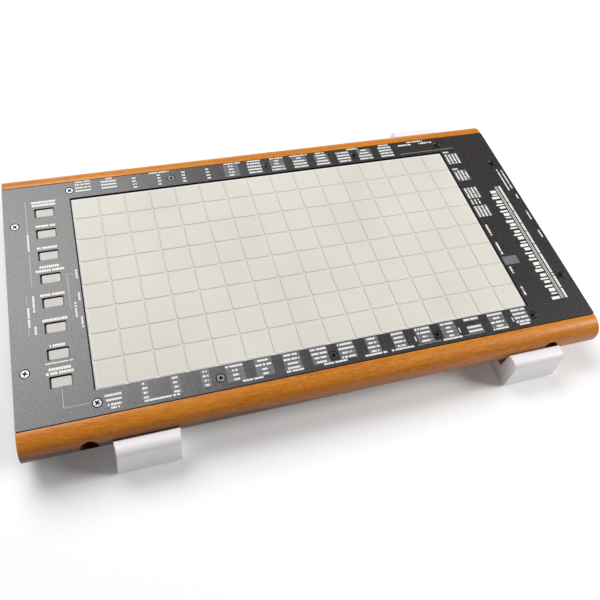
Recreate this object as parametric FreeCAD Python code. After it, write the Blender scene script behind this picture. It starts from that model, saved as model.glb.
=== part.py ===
"""Grid keyboard: a MIDI controller with a 16 by 8 silicone playing grid, cherry rails and four stands.

Millimetres. X runs along the keyboard to the right, Y towards the back, Z up. The origin is the
centre of the floor under the stands. Every function below makes one sub-part in its place.
"""
import FreeCAD, Part
import math
import os

V = FreeCAD.Vector

# ---------------------------------------------------------------- driving dimensions

PITCH = 19.0                 # one cell of the playing grid, both ways
COLUMNS = 16
ROWS = 8
BODY_LENGTH = 21 * PITCH     # the panel is twenty-one cells long
PANEL_DEPTH = 185.0
PANEL_TOP = 36.5             # height of the panel's face above the floor
PANEL_THICK = 1.6
RAIL_INNER = 93.2            # inner face of each wooden rail, from the centre line
RAIL_THICK = 12.6
RAIL_HEIGHT = 24.5
RAIL_ROUND = 11.6            # radius of the nearly half-round outer face
RAIL_END_ROUND = 1.0
RAIL_HOLES = (-160.0, 160.0) # round holes bored in the front rail's face, at mid height
RAIL_HOLE_RADIUS = 5.7
RAIL_HOLE_DEPTH = 7.5
TRAY_WALL = 1.5
TRAY_BOTTOM = 12.6           # underside of the steel tray
KEY_COLUMN_X = -9 * PITCH    # centre line of the eight control keys
KEY_SIZE = (12.4, 6.9)
KEY_HOLE = (13.6, 8.0)
KEY_HOLE_SHIFT = (-0.4, 0.3) # the holes sit a little to the left of the keys and behind them
KEY_TRAVEL = 0.8
STAND_WIDTH = 40.5
STAND_X = {"left": -126.0, "right": 146.0}
LIP_THICK = 10.0             # the stand's lip, in front of the rail
LIP_TOP = 26.4
ARM_BACK = 62.0              # rear end of a stand's arm, from the centre line
SLOT_FLOOR = 10.8            # bottom of the slot that clears the rail's rounded lower edge
RAIL_REST = 2.8              # how far under the rail the stand's shelf reaches
JACK_Y = {"pedal": 2 * PITCH, "usb": PITCH, "midi": 0.0, "power": -PITCH}
JACK_RISE = {"pedal": 6.5, "midi": 8.2, "power": 6.2}    # each socket's axis above the main board

# ---------------------------------------------------------------- heights worked out from them

HALF_L = BODY_LENGTH / 2
HALF_D = PANEL_DEPTH / 2
GRID_X = COLUMNS * PITCH / 2
GRID_Y = ROWS * PITCH / 2
WINDOW = (-GRID_X - 0.9, GRID_X + 0.5, -GRID_Y - 0.5, GRID_Y + 1.0)
PANEL_UNDER = PANEL_TOP - PANEL_THICK
RAIL_BOTTOM = PANEL_TOP - RAIL_HEIGHT
RAIL_OUTER = RAIL_INNER + RAIL_THICK
RAIL_SCREW_Z = PANEL_TOP - RAIL_HEIGHT / 2
TRAY_FLOOR = TRAY_BOTTOM + TRAY_WALL
WALL_INSIDE = HALF_L - TRAY_WALL
KEY_HOLE_X = KEY_COLUMN_X + KEY_HOLE_SHIFT[0]
JACK_FACE = HALF_L - 0.1
STAND_INNER = RAIL_OUTER + 0.3   # the stand's lip clears the rail's face by this much

PAD_TOP = PANEL_TOP - 0.4
KEY_TOP = PANEL_TOP - 0.3
SHEET_FLANGE = 3.5           # the silicone sheet's border, held under the panel
SHEET_THICK = 1.5
SHEET_UNDER = PANEL_UNDER - SHEET_THICK
FILM_THICK = 0.3
FILM_UNDER = SHEET_UNDER - FILM_THICK
SPACER_THICK = 2.5
SPACER_UNDER = FILM_UNDER - SPACER_THICK
LIGHT_BOARD_THICK = 1.6
LIGHT_BOARD_UNDER = SPACER_UNDER - LIGHT_BOARD_THICK
PLATE_THICK = 2.0
PLATE_UNDER = LIGHT_BOARD_UNDER - PLATE_THICK
PLATE_MARGIN = 5.5           # the support plate reaches this far past the light board

MAIN_BOARD = (164.0, 197.4, -34.0, 50.0)
MAIN_BOARD_UNDER = TRAY_FLOOR + 2.4
BOARD_THICK = 1.6
MAIN_BOARD_TOP = MAIN_BOARD_UNDER + BOARD_THICK
KEY_BOARD = (-180.0, -162.0, -80.0, 80.0)
KEY_BOARD_UNDER = TRAY_FLOOR + 10.0
KEY_BOARD_TOP = KEY_BOARD_UNDER + BOARD_THICK
SWITCH_HEIGHT = 1.8
RIBBON_THICK = 0.3
RIBBON_LEVEL = MAIN_BOARD_TOP + 1.0
SENSOR_RIBBON = (0.0, 20.0)      # each ribbon's two edges, along Y
LIGHT_RIBBON = (-21.0, -11.0)
KEY_RIBBON = (28.0, 36.0)
CONNECTOR_X = (164.6, 168.4)     # the ribbon connectors stand in a row along the board's edge
CHIP_X = 174.5                   # middle of the row of chips beside them

PANEL_SCREWS = [(column * 4 * PITCH, side * 4.45 * PITCH) for side in (1, -1) for column in range(-2, 3)]
PANEL_SCREWS += [(side_x * 192.0, side_y * 3 * PITCH) for side_x in (-1, 1) for side_y in (1, -1)]
RAIL_SCREWS = [-181.0, -60.0, 60.0, 181.0]
PLATE_SCREWS = [(sx * (GRID_X + 6.3), y) for sx in (-1, 1) for y in (-70.0, -25.0, 25.0, 70.0)]
MAIN_BOARD_SCREWS = [(167.0, -30.0), (194.0, -30.0), (166.5, 46.5), (193.0, 27.5)]
KEY_BOARD_SCREWS = [(KEY_COLUMN_X, y * PITCH) for y in (-3, -1, 1, 3)]
FEET = [(sx * 180.0, sy * 50.0) for sx in (-1, 1) for sy in (-1, 1)]
KEY_ROWS = [GRID_Y - (row + 0.5) * PITCH for row in range(ROWS)]


# ---------------------------------------------------------------- small shape helpers

def block(x0, x1, y0, y1, z0, z1):
    """A box between two corners."""
    return Part.makeBox(x1 - x0, y1 - y0, z1 - z0, V(x0, y0, z0))


def centred_block(x, y, size_x, size_y, z0, z1):
    """A box centred on a point of the plan."""
    return block(x - size_x / 2, x + size_x / 2, y - size_y / 2, y + size_y / 2, z0, z1)


def round_bar(radius, start, length, axis):
    """A cylinder from a point, along an axis."""
    return Part.makeCylinder(radius, length, start, axis)


def rounded(shape, radius, along):
    """Fillet every straight edge that runs along the given axis."""
    edges = []
    for edge in shape.Edges:
        if edge.Curve.TypeId == "Part::GeomLine":
            if abs(edge.tangentAt(edge.FirstParameter).dot(along)) > 0.999:
                edges.append(edge)
    return shape.makeFillet(radius, edges)


def without(shape, cutters):
    """Cut a list of tools out of a shape, in one operation."""
    return shape.cut(Part.makeCompound(cutters))


def copies(shape, places):
    """The same solid at each place, as separate solids of one node."""
    solids = []
    for place in places:
        solid = shape.copy()
        solid.translate(V(*place))
        solids.append(solid)
    return Part.makeCompound(solids)


def cross_recess(width, depth, top):
    """The cross-shaped tool that leaves a driver recess in a screw head."""
    slot = centred_block(0, 0, width, width / 4, top - depth, top + 1)
    turned = centred_block(0, 0, width / 4, width, top - depth, top + 1)
    return slot.fuse(turned)


def strip(points, thick, y0, y1):
    """A flat ribbon: a path in the XZ plane, thickened and as wide as y0 to y1."""
    runs = []
    for (x0, z0), (x1, z1) in zip(points[:-1], points[1:]):
        low_x, high_x = min(x0, x1), max(x0, x1)
        low_z, high_z = min(z0, z1), max(z0, z1)
        runs.append(block(low_x, high_x + thick, y0, y1, low_z, high_z + thick))
    return runs[0].multiFuse(runs[1:]).removeSplitter()


# ---------------------------------------------------------------- panel and its screws

def make_top_panel():
    """Powder-coated steel sheet with the playing window, eight key holes and fourteen screw holes."""
    sheet = block(-HALF_L, HALF_L, -HALF_D, HALF_D, PANEL_UNDER, PANEL_TOP)
    sheet = rounded(sheet, 0.8, V(0, 0, 1))
    window = block(*WINDOW, PANEL_UNDER - 1, PANEL_TOP + 1)
    cutters = [rounded(window, 1.2, V(0, 0, 1))]
    for y in KEY_ROWS:
        hole = centred_block(KEY_HOLE_X, y + KEY_HOLE_SHIFT[1], *KEY_HOLE, PANEL_UNDER - 1, PANEL_TOP + 1)
        cutters.append(rounded(hole, 0.8, V(0, 0, 1)))
    for x, y in PANEL_SCREWS:
        cutters.append(round_bar(1.7, V(x, y, PANEL_UNDER - 1), PANEL_THICK + 2, V(0, 0, 1)))
        cutters.append(Part.makeCone(1.7, 3.2, 1.5, V(x, y, PANEL_TOP - 1.5)))
    return without(sheet, cutters)


def make_panel_screws():
    """Fourteen M3 countersunk machine screws with a cross recess."""
    top = PANEL_TOP - 0.1
    head = Part.makeCone(1.45, 2.95, 1.4, V(0, 0, top - 1.4))
    shank = round_bar(1.45, V(0, 0, top - 9.0), 7.6, V(0, 0, 1))
    screw = head.fuse(shank).removeSplitter().cut(cross_recess(3.2, 0.9, top))
    return copies(screw, [(x, y, 0) for x, y in PANEL_SCREWS])


def make_panel_standoffs():
    """Round threaded pillars, riveted to the tray, that carry the panel."""
    height = PANEL_UNDER - TRAY_FLOOR
    pillar = round_bar(3.2, V(0, 0, TRAY_FLOOR), height, V(0, 0, 1))
    pillar = pillar.cut(round_bar(1.5, V(0, 0, PANEL_UNDER - 10), 11, V(0, 0, 1)))
    return copies(pillar, [(x, y, 0) for x, y in PANEL_SCREWS])


# ---------------------------------------------------------------- tray, rails and feet

def make_base_tray():
    """Folded steel tray: floor and four walls, with the jack openings in the right wall."""
    outer = block(-HALF_L, HALF_L, -RAIL_INNER, RAIL_INNER, TRAY_BOTTOM, PANEL_UNDER)
    outer = rounded(outer, 1.0, V(0, 0, 1))
    inner = block(-HALF_L + TRAY_WALL, HALF_L - TRAY_WALL, -RAIL_INNER + TRAY_WALL,
                  RAIL_INNER - TRAY_WALL, TRAY_FLOOR, PANEL_UNDER + 1)
    cutters = [inner]
    wall_start = WALL_INSIDE - 1
    bar_length = TRAY_WALL + 2
    for name, radius in (("pedal", 4.6), ("midi", 7.8), ("power", 4.6)):
        start = V(wall_start, JACK_Y[name], MAIN_BOARD_TOP + JACK_RISE[name])
        cutters.append(round_bar(radius, start, bar_length, V(1, 0, 0)))
    cutters.append(block(wall_start, HALF_L + 1, JACK_Y["usb"] - 6.2, JACK_Y["usb"] + 6.2,
                         MAIN_BOARD_TOP - 0.2, MAIN_BOARD_TOP + 11.2))
    for side in (-1, 1):
        for x in RAIL_SCREWS:
            start = V(x, side * (RAIL_INNER - TRAY_WALL - 1), RAIL_SCREW_Z)
            cutters.append(round_bar(1.7, start, bar_length, V(0, side, 0)))
    for x, y in FEET:
        cutters.append(round_bar(1.6, V(x, y, TRAY_BOTTOM - 1), bar_length, V(0, 0, 1)))
    return without(outer, cutters)


def rail_blank(side):
    """A full-length rail with a bullnose outer face; side is -1 at the front and 1 at the back."""
    near, far = sorted((side * RAIL_INNER, side * RAIL_OUTER))
    bar = block(-HALF_L, HALF_L, near, far, RAIL_BOTTOM, PANEL_TOP)
    outer_edges = []
    for edge in bar.Edges:
        middle = edge.CenterOfMass
        if abs(middle.x) < 1 and abs(abs(middle.y) - RAIL_OUTER) < 0.01:
            outer_edges.append(edge)
    bar = bar.makeFillet(RAIL_ROUND, outer_edges)
    end_edges = []
    for edge in bar.Edges:
        middle = edge.CenterOfMass
        if abs(abs(middle.x) - HALF_L) < 0.01 and abs(abs(middle.y) - RAIL_INNER) > 0.01:
            end_edges.append(edge)
    bar = bar.makeFillet(RAIL_END_ROUND, end_edges)
    pilots = []
    for x in RAIL_SCREWS:
        pilots.append(round_bar(1.5, V(x, side * (RAIL_INNER - 0.5), RAIL_SCREW_Z), 8.5, V(0, side, 0)))
    return without(bar, pilots)


def make_front_rail():
    """Front rail, with two blind round holes in its outer face."""
    holes = []
    for x in RAIL_HOLES:
        start = V(x, -RAIL_OUTER - 1, RAIL_SCREW_Z)
        holes.append(round_bar(RAIL_HOLE_RADIUS, start, RAIL_HOLE_DEPTH + 1, V(0, 1, 0)))
    return without(rail_blank(-1), holes)


def make_rear_rail():
    """Rear rail, plain."""
    return rail_blank(1)


def make_rail_screws():
    """Eight screws from inside the tray into the two rails."""
    screws = []
    for side in (-1, 1):
        inside = RAIL_INNER - TRAY_WALL
        for x in RAIL_SCREWS:
            head = round_bar(2.9, V(x, side * inside, RAIL_SCREW_Z), 1.9, V(0, -side, 0))
            shank = round_bar(1.45, V(x, side * (inside - 0.2), RAIL_SCREW_Z), 9.0, V(0, side, 0))
            screws.append(head.fuse(shank))
    return Part.makeCompound(screws)


def make_rubber_feet():
    """Four round rubber feet under the tray, unused while the keyboard is on its stands."""
    foot = Part.makeCone(5.6, 6.2, 3.2, V(0, 0, TRAY_BOTTOM - 3.2))
    foot = foot.cut(round_bar(3.1, V(0, 0, TRAY_BOTTOM - 4.2), 2.6, V(0, 0, 1)))
    foot = foot.cut(round_bar(1.6, V(0, 0, TRAY_BOTTOM - 2), 3, V(0, 0, 1)))
    return copies(foot, [(x, y, 0) for x, y in FEET])


def make_foot_screws():
    """The pan-head screws that hold the rubber feet."""
    seat = TRAY_BOTTOM - 1.6
    head = round_bar(2.7, V(0, 0, seat - 1.4), 1.4, V(0, 0, 1))
    shank = round_bar(1.5, V(0, 0, seat - 0.2), 5.0, V(0, 0, 1))
    screw = head.fuse(shank)
    return copies(screw, [(x, y, 0) for x, y in FEET])


# ---------------------------------------------------------------- playing surface and what is under it

def make_playing_surface():
    """One silicone sheet: a border under the panel and 128 raised pads divided by grooves."""
    border_x = GRID_X + SHEET_FLANGE
    border_y = GRID_Y + SHEET_FLANGE
    sheet = block(-border_x, border_x, -border_y, border_y, SHEET_UNDER, PANEL_UNDER)
    pads = block(-GRID_X, GRID_X, -GRID_Y, GRID_Y, PANEL_UNDER, PAD_TOP)
    groove_floor = PAD_TOP - 0.5
    grooves = []
    for column in range(1, COLUMNS):
        x = -GRID_X + column * PITCH
        grooves.append(block(x - 0.6, x + 0.6, -GRID_Y - 1, GRID_Y + 1, groove_floor, PAD_TOP + 1))
    for row in range(1, ROWS):
        y = -GRID_Y + row * PITCH
        grooves.append(block(-GRID_X - 1, GRID_X + 1, y - 0.6, y + 0.6, groove_floor, PAD_TOP + 1))
    return sheet.fuse(without(pads, grooves)).removeSplitter()


def under_sheet(z0, z1):
    """A layer of the stack with the same outline as the silicone sheet."""
    border_x = GRID_X + SHEET_FLANGE
    border_y = GRID_Y + SHEET_FLANGE
    return block(-border_x, border_x, -border_y, border_y, z0, z1)


def cell_centres():
    """The middle of each of the 128 cells."""
    places = []
    for column in range(COLUMNS):
        for row in range(ROWS):
            places.append((-GRID_X + (column + 0.5) * PITCH, -GRID_Y + (row + 0.5) * PITCH))
    return places


def make_sensor_film():
    """Printed force-sensing film directly under the silicone."""
    return under_sheet(FILM_UNDER, SHEET_UNDER)


def make_spacer_grid():
    """White spacer with a light well under every pad."""
    wells = []
    for x, y in cell_centres():
        wells.append(centred_block(x, y, 11, 11, SPACER_UNDER - 1, FILM_UNDER + 1))
    return without(under_sheet(SPACER_UNDER, FILM_UNDER), wells)


def make_light_board():
    """Circuit board that carries the pad lights."""
    return under_sheet(LIGHT_BOARD_UNDER, SPACER_UNDER)


def make_pad_lights():
    """One LED in the middle of each light well."""
    led = centred_block(0, 0, 5, 5, SPACER_UNDER, SPACER_UNDER + 1.4)
    return copies(led, [(x, y, 0) for x, y in cell_centres()])


def make_support_plate():
    """Aluminium plate that keeps the sensor stack flat under the player's hands."""
    half_x = GRID_X + SHEET_FLANGE + PLATE_MARGIN
    half_y = GRID_Y + SHEET_FLANGE
    plate = block(-half_x, half_x, -half_y, half_y, PLATE_UNDER, LIGHT_BOARD_UNDER)
    holes = []
    for x, y in PLATE_SCREWS:
        holes.append(round_bar(1.6, V(x, y, PLATE_UNDER - 1), PLATE_THICK + 2, V(0, 0, 1)))
    return without(plate, holes)


def make_plate_standoffs():
    """Eight pillars between the tray and the support plate."""
    pillar = round_bar(3.0, V(0, 0, TRAY_FLOOR), PLATE_UNDER - TRAY_FLOOR, V(0, 0, 1))
    pillar = pillar.cut(round_bar(1.5, V(0, 0, PLATE_UNDER - 7), 8, V(0, 0, 1)))
    return copies(pillar, [(x, y, 0) for x, y in PLATE_SCREWS])


def make_plate_screws():
    """Eight pan-head screws through the support plate."""
    head = round_bar(2.5, V(0, 0, LIGHT_BOARD_UNDER), 1.8, V(0, 0, 1))
    shank = round_bar(1.4, V(0, 0, LIGHT_BOARD_UNDER - 7), 7.2, V(0, 0, 1))
    return copies(head.fuse(shank), [(x, y, 0) for x, y in PLATE_SCREWS])


# ---------------------------------------------------------------- control keys

def make_control_key(y):
    """One key cap: a small translucent block with a retaining flange and a stem over its switch."""
    x = KEY_COLUMN_X
    flange_top = PANEL_UNDER - 0.1
    cap = centred_block(x, y, *KEY_SIZE, flange_top - 0.5, KEY_TOP)
    cap = rounded(cap, 0.9, V(0, 0, 1))
    top_edges = [edge for edge in cap.Edges if abs(edge.CenterOfMass.z - KEY_TOP) < 0.01]
    cap = cap.makeFillet(0.4, top_edges)
    flange = centred_block(KEY_HOLE_X, y + KEY_HOLE_SHIFT[1], KEY_HOLE[0] + 1.6, KEY_HOLE[1] + 1.6,
                           flange_top - 1.2, flange_top)
    stem_foot = KEY_BOARD_TOP + SWITCH_HEIGHT + KEY_TRAVEL + 0.1
    stem = round_bar(1.8, V(x, y, stem_foot), flange_top - 1.0 - stem_foot, V(0, 0, 1))
    return cap.multiFuse([flange, stem]).removeSplitter()


def make_key_switches():
    """Eight low tactile switches, one under each key."""
    base = centred_block(0, 0, 6, 6, KEY_BOARD_TOP, KEY_BOARD_TOP + SWITCH_HEIGHT - 0.5)
    button = round_bar(1.7, V(0, 0, KEY_BOARD_TOP + SWITCH_HEIGHT - 0.6), 0.6, V(0, 0, 1))
    return copies(base.fuse(button), [(KEY_COLUMN_X, y, 0) for y in KEY_ROWS])


def board_blank(outline, under, screws):
    """A circuit board with clearance holes for its screws."""
    x0, x1, y0, y1 = outline
    board = rounded(block(x0, x1, y0, y1, under, under + BOARD_THICK), 1.5, V(0, 0, 1))
    holes = []
    for x, y in screws:
        holes.append(round_bar(1.4, V(x, y, under - 1), BOARD_THICK + 2, V(0, 0, 1)))
    return without(board, holes)


def make_key_board():
    """Narrow circuit board under the control keys."""
    return board_blank(KEY_BOARD, KEY_BOARD_UNDER, KEY_BOARD_SCREWS)


# ---------------------------------------------------------------- main board, jacks and wiring

def make_main_board():
    """Main circuit board, flat on the tray behind the right wall."""
    return board_blank(MAIN_BOARD, MAIN_BOARD_UNDER, MAIN_BOARD_SCREWS)


def make_processor():
    """Microcontroller package."""
    return centred_block(CHIP_X + 0.5, 0.0, 12, 12, MAIN_BOARD_TOP, MAIN_BOARD_TOP + 1.4)


def make_board_components():
    """Regulator, crystal and three capacitors on the main board."""
    top = MAIN_BOARD_TOP
    parts = [centred_block(CHIP_X, -19.0, 6.5, 9.0, top, top + 2.3),
             centred_block(CHIP_X, 11.0, 11.0, 4.5, top, top + 3.5)]
    for y in (-11.0, -26.0, 16.5):
        parts.append(round_bar(2.0, V(CHIP_X, y, top), 5.4, V(0, 0, 1)))
    return Part.makeCompound(parts)


def make_board_connectors():
    """Ribbon connectors: three on the main board and one on the key board, each 1 mm wider than its ribbon."""
    sockets = []
    for low, high in (SENSOR_RIBBON, LIGHT_RIBBON, KEY_RIBBON):
        sockets.append(block(*CONNECTOR_X, low - 1, high + 1, MAIN_BOARD_TOP, MAIN_BOARD_TOP + 2.6))
    low, high = KEY_RIBBON
    sockets.append(block(-166.0, -162.4, low - 1, high + 1, KEY_BOARD_TOP, KEY_BOARD_TOP + 2.0))
    return Part.makeCompound(sockets)


def make_main_board_standoffs():
    """Short spacers under the main board."""
    pillar = round_bar(2.4, V(0, 0, TRAY_FLOOR), MAIN_BOARD_UNDER - TRAY_FLOOR, V(0, 0, 1))
    pillar = pillar.cut(round_bar(1.25, V(0, 0, TRAY_FLOOR + 0.4), 5, V(0, 0, 1)))
    return copies(pillar, [(x, y, 0) for x, y in MAIN_BOARD_SCREWS])


def make_key_board_standoffs():
    """Tall spacers under the key board."""
    pillar = round_bar(2.4, V(0, 0, TRAY_FLOOR), KEY_BOARD_UNDER - TRAY_FLOOR, V(0, 0, 1))
    pillar = pillar.cut(round_bar(1.25, V(0, 0, KEY_BOARD_UNDER - 5), 6, V(0, 0, 1)))
    return copies(pillar, [(x, y, 0) for x, y in KEY_BOARD_SCREWS])


def make_board_screws():
    """Eight small pan-head screws, four in each board."""
    head = round_bar(2.2, V(0, 0, 0), 1.5, V(0, 0, 1))
    shank = round_bar(1.2, V(0, 0, -3.4), 3.5, V(0, 0, 1))
    screw = head.fuse(shank)
    places = [(x, y, MAIN_BOARD_TOP) for x, y in MAIN_BOARD_SCREWS]
    places += [(x, y, KEY_BOARD_TOP) for x, y in KEY_BOARD_SCREWS]
    return copies(screw, places)


def jack_body(name, depth, width, height, nose_radius):
    """A moulded jack housing behind the wall, with a round nose through the wall."""
    y = JACK_Y[name]
    housing = block(WALL_INSIDE - depth, WALL_INSIDE, y - width / 2, y + width / 2,
                    MAIN_BOARD_TOP, MAIN_BOARD_TOP + height)
    nose_start = V(WALL_INSIDE - 1, y, MAIN_BOARD_TOP + JACK_RISE[name])
    return housing.fuse(round_bar(nose_radius, nose_start, JACK_FACE - WALL_INSIDE + 1, V(1, 0, 0)))


def jack_hole(name, radius, depth):
    """The round hole of a jack, from its face inwards."""
    start = V(JACK_FACE - depth, JACK_Y[name], MAIN_BOARD_TOP + JACK_RISE[name])
    return round_bar(radius, start, depth + 1, V(1, 0, 0))


def make_pedal_jack():
    """Quarter-inch socket for foot pedals."""
    return jack_body("pedal", 29.0, 15.6, 13.0, 4.4).cut(jack_hole("pedal", 3.25, 28.0)).removeSplitter()


def make_power_jack():
    """Barrel socket for the mains adaptor, with its centre pin."""
    body = jack_body("power", 13.0, 9.4, 11.0, 4.4).cut(jack_hole("power", 3.1, 10.0))
    pin_start = V(JACK_FACE - 10.5, JACK_Y["power"], MAIN_BOARD_TOP + JACK_RISE["power"])
    pin = round_bar(1.0, pin_start, 9.5, V(1, 0, 0))
    return body.fuse(pin).removeSplitter()


def make_midi_jack():
    """Five-pin round socket: a ring groove for the plug's shell and five contact holes."""
    body = jack_body("midi", 14.0, 18.0, 16.2, 7.6)
    groove = jack_hole("midi", 6.9, 8.0).cut(jack_hole("midi", 5.7, 9.0))
    holes = [groove]
    axis_z = MAIN_BOARD_TOP + JACK_RISE["midi"]
    contact_ring = 3.75
    for step in range(5):
        angle = math.radians(step * 45)
        start = V(JACK_FACE - 7, JACK_Y["midi"] + contact_ring * math.cos(angle),
                  axis_z + contact_ring * math.sin(angle))
        holes.append(round_bar(0.8, start, 8, V(1, 0, 0)))
    return without(body, holes).removeSplitter()


def make_usb_jack():
    """Square USB socket: a metal shell around a plastic tongue."""
    y = JACK_Y["usb"]
    foot = MAIN_BOARD_TOP
    shell = block(HALF_L - 16.5, JACK_FACE, y - 6.0, y + 6.0, foot, foot + 11.0)
    mouth = block(HALF_L - 11.5, JACK_FACE + 1, y - 4.25, y + 4.25, foot + 1.6, foot + 9.4)
    corners = [edge for edge in mouth.Edges
               if abs(edge.tangentAt(0).x) > 0.99 and edge.CenterOfMass.z > foot + 9]
    mouth = mouth.makeChamfer(1.8, corners)
    tongue = block(HALF_L - 12.0, JACK_FACE - 1.6, y - 2.8, y + 2.8, foot + 3.9, foot + 7.1)
    return shell.cut(mouth).fuse(tongue).removeSplitter()


def make_sensor_ribbon():
    """Flat ribbon from the sensor film down to the main board."""
    edge_x = GRID_X + SHEET_FLANGE
    path = [(edge_x, FILM_UNDER), (edge_x + 7.0, FILM_UNDER), (edge_x + 7.0, RIBBON_LEVEL),
            (CONNECTOR_X[0] - RIBBON_THICK, RIBBON_LEVEL)]
    return strip(path, RIBBON_THICK, *SENSOR_RIBBON)


def make_light_ribbon():
    """Flat ribbon from the light board down to the main board."""
    edge_x = GRID_X + SHEET_FLANGE
    level = LIGHT_BOARD_UNDER + 0.6
    path = [(edge_x, level), (edge_x + 7.0, level), (edge_x + 7.0, RIBBON_LEVEL),
            (CONNECTOR_X[0] - RIBBON_THICK, RIBBON_LEVEL)]
    return strip(path, RIBBON_THICK, *LIGHT_RIBBON)


def make_key_ribbon():
    """Flat ribbon along the tray's floor, from the key board to the main board."""
    low = TRAY_FLOOR + 0.2
    path = [(-162.4, KEY_BOARD_TOP + 0.8), (-160.6, KEY_BOARD_TOP + 0.8), (-160.6, low),
            (162.5, low), (162.5, RIBBON_LEVEL), (CONNECTOR_X[0] - RIBBON_THICK, RIBBON_LEVEL)]
    return strip(path, RIBBON_THICK, *KEY_RIBBON)


# ---------------------------------------------------------------- stands

def make_stand(side_x, side_y):
    """A moulded stand that hooks under a rail; side_y is -1 at the front and 1 at the back."""
    x0 = STAND_X[side_x] - STAND_WIDTH / 2
    nose = STAND_INNER + LIP_THICK
    shelf_start = RAIL_INNER + RAIL_REST
    crown = LIP_TOP + 0.7

    def at(y, z):
        return V(x0, side_y * y, z)

    outline = [Part.LineSegment(at(ARM_BACK, 0), at(nose - 1.0, 0)),
               Part.Arc(at(nose - 1.0, 0), at(nose + 1.1, 1.3), at(nose + 1.9, 4.6)),
               Part.LineSegment(at(nose + 1.9, 4.6), at(nose + 0.2, crown - 5.0)),
               Part.Arc(at(nose + 0.2, crown - 5.0), at(nose - 2.0, crown - 0.9), at(nose - 5.4, crown)),
               Part.Arc(at(nose - 5.4, crown), at(nose - 8.0, crown - 0.1), at(STAND_INNER, LIP_TOP)),
               Part.LineSegment(at(STAND_INNER, LIP_TOP), at(STAND_INNER, SLOT_FLOOR)),
               Part.LineSegment(at(STAND_INNER, SLOT_FLOOR), at(shelf_start, SLOT_FLOOR)),
               Part.LineSegment(at(shelf_start, SLOT_FLOOR), at(shelf_start, RAIL_BOTTOM)),
               Part.LineSegment(at(shelf_start, RAIL_BOTTOM), at(ARM_BACK, RAIL_BOTTOM)),
               Part.LineSegment(at(ARM_BACK, RAIL_BOTTOM), at(ARM_BACK, 0))]
    wire = Part.Wire([curve.toShape() for curve in outline])
    stand = Part.Face(wire).extrude(V(STAND_WIDTH, 0, 0))
    return without(stand, [bevel_tool(x0, side_y, nose, -1),
                           bevel_tool(x0 + STAND_WIDTH, side_y, nose, 1)])


def bevel_tool(x, side_y, nose, end):
    """The wedge that bevels the nose of a stand at one end, in front of a line down its face."""
    inset = 1.5              # how much the end is cut back at the nose
    top = V(x, side_y * STAND_INNER, LIP_TOP + 0.2)
    foot = V(x, side_y * (nose + 1.0), 1.0)
    down = foot - top
    down.normalize()
    top = top - down * 6
    foot = foot + down * 6
    outward = V(0, side_y, 0)
    forward = outward - down * outward.dot(down)
    forward.normalize()
    reach = 12.0             # the wedge runs this far forward, past the nose
    inward = forward * reach - V(end * inset, 0, 0)
    beyond = V(end * 4.0, 0, 0)
    corners = [top, top + inward, top + forward * reach + beyond, top + beyond]
    section = Part.Face(Part.makePolygon(corners + corners[:1]))
    return section.extrude(foot - top)


# ---------------------------------------------------------------- export

PARTS = {
    "top_panel": make_top_panel,
    "panel_screws": make_panel_screws,
    "panel_standoffs": make_panel_standoffs,
    "base_tray": make_base_tray,
    "front_rail": make_front_rail,
    "rear_rail": make_rear_rail,
    "rail_screws": make_rail_screws,
    "rubber_feet": make_rubber_feet,
    "foot_screws": make_foot_screws,
    "playing_surface": make_playing_surface,
    "sensor_film": make_sensor_film,
    "spacer_grid": make_spacer_grid,
    "light_board": make_light_board,
    "pad_lights": make_pad_lights,
    "support_plate": make_support_plate,
    "plate_standoffs": make_plate_standoffs,
    "plate_screws": make_plate_screws,
    "key_switches": make_key_switches,
    "key_board": make_key_board,
    "key_board_standoffs": make_key_board_standoffs,
    "main_board": make_main_board,
    "main_board_standoffs": make_main_board_standoffs,
    "processor": make_processor,
    "board_components": make_board_components,
    "board_connectors": make_board_connectors,
    "board_screws": make_board_screws,
    "pedal_jack": make_pedal_jack,
    "usb_jack": make_usb_jack,
    "midi_jack": make_midi_jack,
    "power_jack": make_power_jack,
    "sensor_ribbon": make_sensor_ribbon,
    "light_ribbon": make_light_ribbon,
    "key_ribbon": make_key_ribbon,
}

os.makedirs("parts", exist_ok=True)
for part_name, maker in PARTS.items():
    maker().exportStep("parts/" + part_name + ".step")
for number, key_y in enumerate(KEY_ROWS, start=1):
    make_control_key(key_y).exportStep("parts/control_key_%d.step" % number)
for end_name, end_side in (("front", -1), ("rear", 1)):
    for hand in ("left", "right"):
        make_stand(hand, end_side).exportStep("parts/%s_%s_stand.step" % (end_name, hand))
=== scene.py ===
"""Grid keyboard: the fine shapes and finishes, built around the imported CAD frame.

Everything is in metres in the CAD's own frame: X along the keyboard to the right, Y towards the
back, Z up from the floor. The sections follow the keyboard as it is put together.
"""
import math
import random

import bmesh
import bpy
from mathutils import Matrix, Vector


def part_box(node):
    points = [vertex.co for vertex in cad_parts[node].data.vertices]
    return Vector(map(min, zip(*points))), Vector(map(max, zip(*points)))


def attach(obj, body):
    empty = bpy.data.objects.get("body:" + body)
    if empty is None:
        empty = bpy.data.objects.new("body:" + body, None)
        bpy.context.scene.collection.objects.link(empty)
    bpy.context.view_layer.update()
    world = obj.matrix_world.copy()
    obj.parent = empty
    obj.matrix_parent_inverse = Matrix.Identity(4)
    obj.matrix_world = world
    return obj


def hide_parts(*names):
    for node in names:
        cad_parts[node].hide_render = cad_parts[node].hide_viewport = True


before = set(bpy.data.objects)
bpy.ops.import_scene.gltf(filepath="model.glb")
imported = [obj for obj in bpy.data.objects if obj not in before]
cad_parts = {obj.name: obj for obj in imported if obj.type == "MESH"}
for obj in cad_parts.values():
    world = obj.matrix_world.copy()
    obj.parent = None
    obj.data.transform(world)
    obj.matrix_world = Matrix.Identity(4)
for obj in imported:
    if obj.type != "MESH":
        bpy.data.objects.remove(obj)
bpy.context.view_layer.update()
MM = 0.001

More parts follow.
